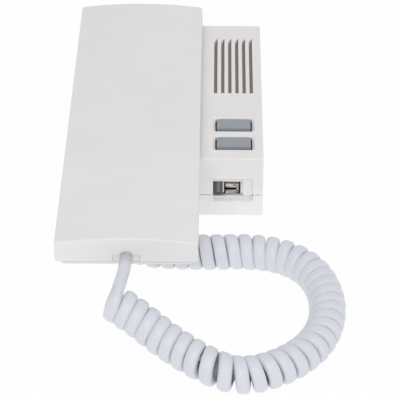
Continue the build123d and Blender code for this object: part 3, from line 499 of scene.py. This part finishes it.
# %% Moulded finishes
DRIFT_SIZE = 30 * MM
DRIFT_SHARE = 0.015
GRAIN_GLOSS = 0.06  # by which the roughness goes up and down
GRAIN_STRENGTH = 0.35
PLASTIC_SHINE = 0.35
MOULDED = {
    "case_plastic": ((0.785, 0.772, 0.77), 0.4, 0.015, 0.55),
    "handset_plastic": ((0.775, 0.762, 0.765), 0.4, 0.015, 0.55),
    "grommet_plastic": ((0.74, 0.72, 0.70), 0.5, 0.02, 0.5),
    "cord_jacket": ((0.65, 0.668, 0.72), 1.5, 0.02, 0.36),
    "foam_rubber": ((0.03, 0.03, 0.03), 0.8, 0.2, 0.9),
    "speaker_paper": ((0.29, 0.255, 0.235), 0.5, 0.08, 0.85),
    "magnet": ((0.07, 0.07, 0.075), 0.4, 0.03, 0.5),
    "board_laminate": ((0.02, 0.13, 0.06), 2.0, 0.01, 0.3),
    "component_black": ((0.02, 0.02, 0.022), 0.4, 0.01, 0.45),
    "terminal_plastic": ((0.03, 0.18, 0.08), 0.4, 0.01, 0.45),
}


def grained(name, grain, height, roughness):
    """Plastic with a grain and uneven gloss, whose colour is still to come."""
    material, tree, shader = new_finish(name)
    pits = blotches(tree, grain * MM, own_place(tree))
    gloss = spread(tree, pits, roughness - GRAIN_GLOSS, roughness + GRAIN_GLOSS)
    tree.links.new(gloss, shader.inputs["Roughness"])
    tree.links.new(bumps(tree, pits, GRAIN_STRENGTH, height * MM), shader.inputs["Normal"])
    shader.inputs["Specular IOR Level"].default_value = PLASTIC_SHINE
    return material, tree, shader


def moulded(name, colour, grain, height, roughness):
    """Grained plastic with a drift of colour."""
    material, tree, shader = grained(name, grain, height, roughness)
    darker = [c * (1 - DRIFT_SHARE) for c in colour]
    lighter = [c * (1 + DRIFT_SHARE) for c in colour]
    cloud = spread(tree, blotches(tree, DRIFT_SIZE, own_place(tree)), 0, 1)
    tree.links.new(two_tones(tree, cloud, darker, lighter), shader.inputs["Base Color"])
    return material


finishes = {name: moulded(name, *numbers) for name, numbers in MOULDED.items()}
print("moulded finishes:", ", ".join(finishes))

# %% [markdown]
# ## Steel
#
# The steel pieces are cut from rolled sheet, which has fine streaks in the direction of
# rolling. Here a noise is drawn out along X, and its streaks change colour, gloss and height
# together. The face of the volume switch is brighter than the rest, and it sits in a small
# window where much of what it mirrors is dark. That dark reflection is painted into its
# colour: its streaks go from bright to nearly black. The numbers are the colour, the
# roughness, the streaks' width in millimetres, and the share of the colour that is left in
# the dark streaks, which on the switch face is painted dark reflection.

# %% Steel finishes
STREAK_SQUEEZE = (0.25, 1, 1)  # makes the streaks four times as long as wide
STREAK_GLOSS = 0.1
STREAK_STRENGTH = 0.3
STREAK_HEIGHT = 0.05 * MM
PLAIN_SHARE = (0.8, 0.8, 0.8)
STEELS = {
    # The switch face keeps a tenth of its colour in the dark streaks: painted dark reflection.
    "switch_steel": ((0.80, 0.77, 0.73), 0.45, 0.9, (0.10, 0.085, 0.07)),
    "screw_steel": ((0.60, 0.60, 0.58), 0.35, 0.5, PLAIN_SHARE),
    "speaker_steel": ((0.5, 0.5, 0.5), 0.4, 0.8, PLAIN_SHARE),
    "ballast_steel": ((0.35, 0.35, 0.35), 0.5, 0.8, PLAIN_SHARE),
}


def rolled(name, colour, roughness, streak, dark_streak_and_reflection_share):
    """Sheet steel with streaks along X, whose dark streaks on the switch face are painted
    reflection.
    """
    material, tree, shader = new_finish(name)
    squeeze = tree.nodes.new("ShaderNodeMapping")
    squeeze.inputs["Scale"].default_value = STREAK_SQUEEZE
    tree.links.new(own_place(tree), squeeze.inputs["Vector"])
    streaks = blotches(tree, streak * MM, squeeze.outputs["Vector"])
    # On the switch face, these darker streaks are painted dark reflection.
    darker = [c * share for c, share in zip(colour, dark_streak_and_reflection_share)]
    tones = two_tones(tree, spread(tree, streaks, 0, 1), darker, colour)
    tree.links.new(tones, shader.inputs["Base Color"])
    gloss = spread(tree, streaks, roughness - STREAK_GLOSS, roughness + STREAK_GLOSS)
    tree.links.new(gloss, shader.inputs["Roughness"])
    height = bumps(tree, streaks, STREAK_STRENGTH, STREAK_HEIGHT)
    tree.links.new(height, shader.inputs["Normal"])
    shader.inputs["Metallic"].default_value = 1.0
    return material


finishes.update({name: rolled(name, *numbers) for name, numbers in STEELS.items()})
print("steel finishes:", ", ".join(STEELS))

# %% [markdown]
# ## The volume lever's finish
#
# The lever is moulded in a dark grey, and it isn't one grey all over: it is lighter down the
# middle, between its two grooves, its right edge is a pale line, and its foot is browner. A
# colour ramp along X paints the bands. It reads the object's own coordinates, so the bands
# slide along with the lever.

# %% Lever finish
LEVER_GRAIN = (0.3, 0.01, 0.4)  # size and height in millimetres, roughness
LEVER_BANDS = [  # share of the lever's width from its left side, colour
    (0.00, (0.06, 0.062, 0.066)),
    (0.24, (0.08, 0.082, 0.085)),
    (0.36, (0.20, 0.20, 0.20)),
    (0.54, (0.19, 0.19, 0.19)),
    (0.66, (0.11, 0.11, 0.11)),
    (0.88, (0.12, 0.115, 0.11)),
    (0.92, (0.66, 0.63, 0.58)),
]
LEVER_FOOT = (0.10, 0.086, 0.08)
LEVER_FOOT_HEIGHT = 0.9 * MM
LEVER_FOOT_FADE = 0.27 * MM


def place_along(tree, way, low, high):
    """Zero to one along one way of the object's own space."""
    parts = tree.nodes.new("ShaderNodeSeparateXYZ")
    tree.links.new(own_place(tree), parts.inputs["Vector"])
    return remap(tree, parts.outputs[way], (low, high), (0, 1))


def lever_finish():
    """Dark grey plastic with the lever's bands of colour."""
    low, high = (Vector(corner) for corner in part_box("volume_lever"))
    material, tree, shader = grained("lever_plastic", *LEVER_GRAIN)
    ramp = tree.nodes.new("ShaderNodeValToRGB")
    stops = ramp.color_ramp.elements
    while len(stops) < len(LEVER_BANDS):
        stops.new(1.0)
    for stop, (place, colour) in zip(stops, LEVER_BANDS):
        stop.position = place
        stop.color = (*colour, 1)
    tree.links.new(place_along(tree, "X", low.x, high.x), ramp.inputs["Fac"])
    foot_top = low.z + LEVER_FOOT_HEIGHT
    rise = place_along(tree, "Z", foot_top, foot_top + LEVER_FOOT_FADE)
    colour = two_tones(tree, rise, LEVER_FOOT, ramp.outputs["Color"])
    tree.links.new(colour, shader.inputs["Base Color"])
    return material


finishes["lever_plastic"] = lever_finish()
print("lever finish:", len(LEVER_BANDS), "bands over the foot")

# %% [markdown]
# ## The buttons' finish
#
# The two caps are a satin blue-grey. Each goes on down into the case as a skirt of the same
# plastic, which lies deep in shade in the narrow gaps at its sides. That shade is painted: the
# skirt is coloured black. The skirt could be a piece of its own, but on the real button it is
# one moulding with the cap, so the finish tells the two apart by height and by the cap's two
# ends.

# %% Button finish
BUTTON_GRAIN = (0.3, 0.01, 0.36)  # as the lever's, a little glossier
BUTTON_COLOUR = (0.28, 0.306, 0.338)
# Painted shade: the skirt is coloured black where the gaps beside the cap are in shade.
SKIRT_SHADE_COLOUR = (0.012, 0.012, 0.013)
SKIRT_SHADE_TOP = 30.9 * MM
SKIRT_SHADE_EDGE = 0.1 * MM
CAP_LEFT, CAP_RIGHT = 23.35 * MM, 38.85 * MM


def pick(tree, way, first, second):
    """The smaller or the larger of two values."""
    node = tree.nodes.new("ShaderNodeMath")
    node.operation = way
    tree.links.new(first, node.inputs[0])
    tree.links.new(second, node.inputs[1])
    return node.outputs["Value"]


def button_and_shade_finish():
    """Satin cap over a skirt painted black as shade."""
    material, tree, shader = grained("button_plastic", *BUTTON_GRAIN)
    from_left = place_along(tree, "X", CAP_LEFT - SKIRT_SHADE_EDGE, CAP_LEFT)
    from_right = place_along(tree, "X", CAP_RIGHT + SKIRT_SHADE_EDGE, CAP_RIGHT)
    above = place_along(tree, "Z", SKIRT_SHADE_TOP, SKIRT_SHADE_TOP + SKIRT_SHADE_EDGE)
    within = pick(tree, "MINIMUM", from_left, from_right)
    cap = pick(tree, "MAXIMUM", within, above)
    # Below the skirt's top and past the cap's ends, the colour is the painted shade.
    colour = two_tones(tree, cap, SKIRT_SHADE_COLOUR, BUTTON_COLOUR)
    tree.links.new(colour, shader.inputs["Base Color"])
    return material


finishes["button_plastic"] = button_and_shade_finish()
print("button cap:", round((CAP_RIGHT - CAP_LEFT) / MM, 1), "mm wide between its skirt's ends")

# %% [markdown]
# ## Dressing the pieces
#
# The covers are a light grey, nearly neutral, that looks white in this light. The cord's
# jacket is a cooler, bluish white and has more gloss, because it is extruded and not moulded.
# Inside sit foam, grey-brown paper, board and components, which only show through the slots
# and the window, or when someone looks behind. The model's record says which finish each
# piece takes, so one loop dresses them all.

# %% Dress the pieces
def dress(piece, finish):
    """Gives a piece one finish all over."""
    piece.data.materials.clear()
    piece.data.materials.append(finishes[finish])


for part in frame["record"]["subparts"]:
    dress(frame["nodes"][part["node"]], part["material_slot"])
dress(cord, "cord_jacket")
print("finishes:", len(finishes))

# %% [markdown]
# ## The card behind the slots
#
# Through the speech slots of the real intercom one sees an even grey-brown and not the
# speaker's cone. A thin paper card close behind the slots, which keeps the dust out, would look
# so. At a fifth of a millimetre it is too thin for the model's solids and is drawn here, as a
# mesh of eight corners and six faces. It takes the paper's finish, whose noise gives it grain.

# %% Slot card
CARD_LOW = (20.1, 33.0, 28.85)
CARD_HIGH = (42.1, 88.0, 29.05)
CARD_FACES = [
    (0, 1, 3, 2), (4, 6, 7, 5),
    (0, 4, 5, 1), (2, 3, 7, 6),
    (0, 2, 6, 4), (1, 5, 7, 3),
]


def cut_card(name):
    """Thin card between its two outer corners."""
    sides = zip(CARD_LOW, CARD_HIGH)
    x_ends, y_ends, z_ends = ([end * MM for end in ends] for ends in sides)
    corners = [(x, y, z) for x in x_ends for y in y_ends for z in z_ends]
    mesh = bpy.data.meshes.new(name)
    mesh.from_pydata(corners, [], CARD_FACES)
    return put_in_scene(name, mesh)


card = cut_card("slot_card")
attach(card, "base")
dress(card, "speaker_paper")
print("card:", [round(side / MM, 1) for side in card.dimensions], "mm")

# %% [markdown]
# ## The table
#
# The intercom lies on a white table. In the photograph its sides and undersides are nearly as
# light as its tops, as on a light table, where much of the light comes up from below. Lamps
# strong enough to turn a plain table white would burn out the tops. So the material looks at
# the kind of ray. A ray from the camera, a mirror or glass sees plain white, with a small
# share of the table as the lamps really light and shade it, so that a faint shadow stays. Any
# other ray sees a white table that glows by itself, about as bright as the camera sees it.

# %% Table
TABLE_SIZE = 6.0  # metres
TABLE_COLOUR = (0.88, 0.87, 0.85, 1)
TABLE_ROUGHNESS = 0.9
TABLE_SHINE = 0.1
TABLE_WHITE = 1.0  # strength that shows as plain white
TABLE_SHADOW_SHARE = 0.04
TABLE_GLOW = 1.25
TABLE_GLOW_SHARE = 0.8


def seen_directly(tree):
    """One for rays from the camera, a mirror or glass, and zero for all others."""
    path = tree.nodes.new("ShaderNodeLightPath")
    total = path.outputs["Is Camera Ray"]
    for kind in ("Is Glossy Ray", "Is Transmission Ray"):
        total = pick(tree, "MAXIMUM", total, path.outputs[kind])
    return total


def table_finish():
    """White table that glows for the object, and shows its shadow faintly."""
    material, tree, shader = new_finish("table")
    shader.inputs["Base Color"].default_value = TABLE_COLOUR
    shader.inputs["Roughness"].default_value = TABLE_ROUGHNESS
    shader.inputs["Specular IOR Level"].default_value = TABLE_SHINE
    direct = seen_directly(tree)
    white = tree.nodes.new("ShaderNodeEmission")
    strength = remap(tree, direct, (0, 1), (TABLE_GLOW, TABLE_WHITE))
    tree.links.new(strength, white.inputs["Strength"])
    mix = tree.nodes.new("ShaderNodeMixShader")
    share = remap(tree, direct, (0, 1), (TABLE_GLOW_SHARE, 1 - TABLE_SHADOW_SHARE))
    for output, socket in zip((share, shader.outputs[0], white.outputs[0]), mix.inputs):
        tree.links.new(output, socket)
    tree.links.new(mix.outputs[0], tree.nodes["Material Output"].inputs["Surface"])
    return material


def lay_table():
    """Wide flat table under the object."""
    half = TABLE_SIZE / 2
    corners = [(-half, -half, 0), (half, -half, 0), (half, half, 0), (-half, half, 0)]
    mesh = bpy.data.meshes.new("table")
    mesh.from_pydata(corners, [], [(0, 1, 2, 3)])
    mesh.materials.append(table_finish())
    put_in_scene("table", mesh)


lay_table()
print("table:", TABLE_SIZE, "m wide")

# %% [markdown]
# ## Sky and lamps
#
# Two square soft boxes light the intercom, a wide one from the front and a weak one from the
# right, and a pale sky fills in the rest. Small lamps would cast hard shadows, which a product
# photograph on white doesn't have. Their power is kept low enough that the palest tops stay
# short of pure white and each colour renders about as it is written. The sky uses the table's
# way to be white to the camera. A Standard view shows the colours as they were worked out.

# %% Sky and lamps
SKY_STRENGTH = 0.58
SKY_WHITE = 1.0
LAMPS = [  # name, place and width in metres, power in watts
    ("lamp_front", (-0.05, -1.1, 1.5), 1.2, 13),
    ("lamp_right", (1.0, 0.0, 1.4), 1.0, 3),
]


def make_sky():
    """Even pale sky that looks white to the camera."""
    world = bpy.data.worlds.new("sky")
    world.use_nodes = True
    bpy.context.scene.world = world
    tree = world.node_tree
    background = tree.nodes["Background"]
    background.inputs["Color"].default_value = (1, 1, 1, 1)
    strength = remap(tree, seen_directly(tree), (0, 1), (SKY_STRENGTH, SKY_WHITE))
    tree.links.new(strength, background.inputs["Strength"])


def hang_lamp(name, place, width, power):
    """Square soft box that faces the object."""
    data = bpy.data.lights.new(name, "AREA")
    data.shape = "SQUARE"
    data.size = width
    data.energy = power
    lamp = put_in_scene(name, data)
    lamp.location = place
    lamp.rotation_euler = Vector(place).to_track_quat("Z", "Y").to_euler()


make_sky()
for lamp in LAMPS:
    hang_lamp(*lamp)
bpy.context.scene.view_settings.view_transform = "Standard"
print("lamps:", [light.name for light in bpy.data.lights])
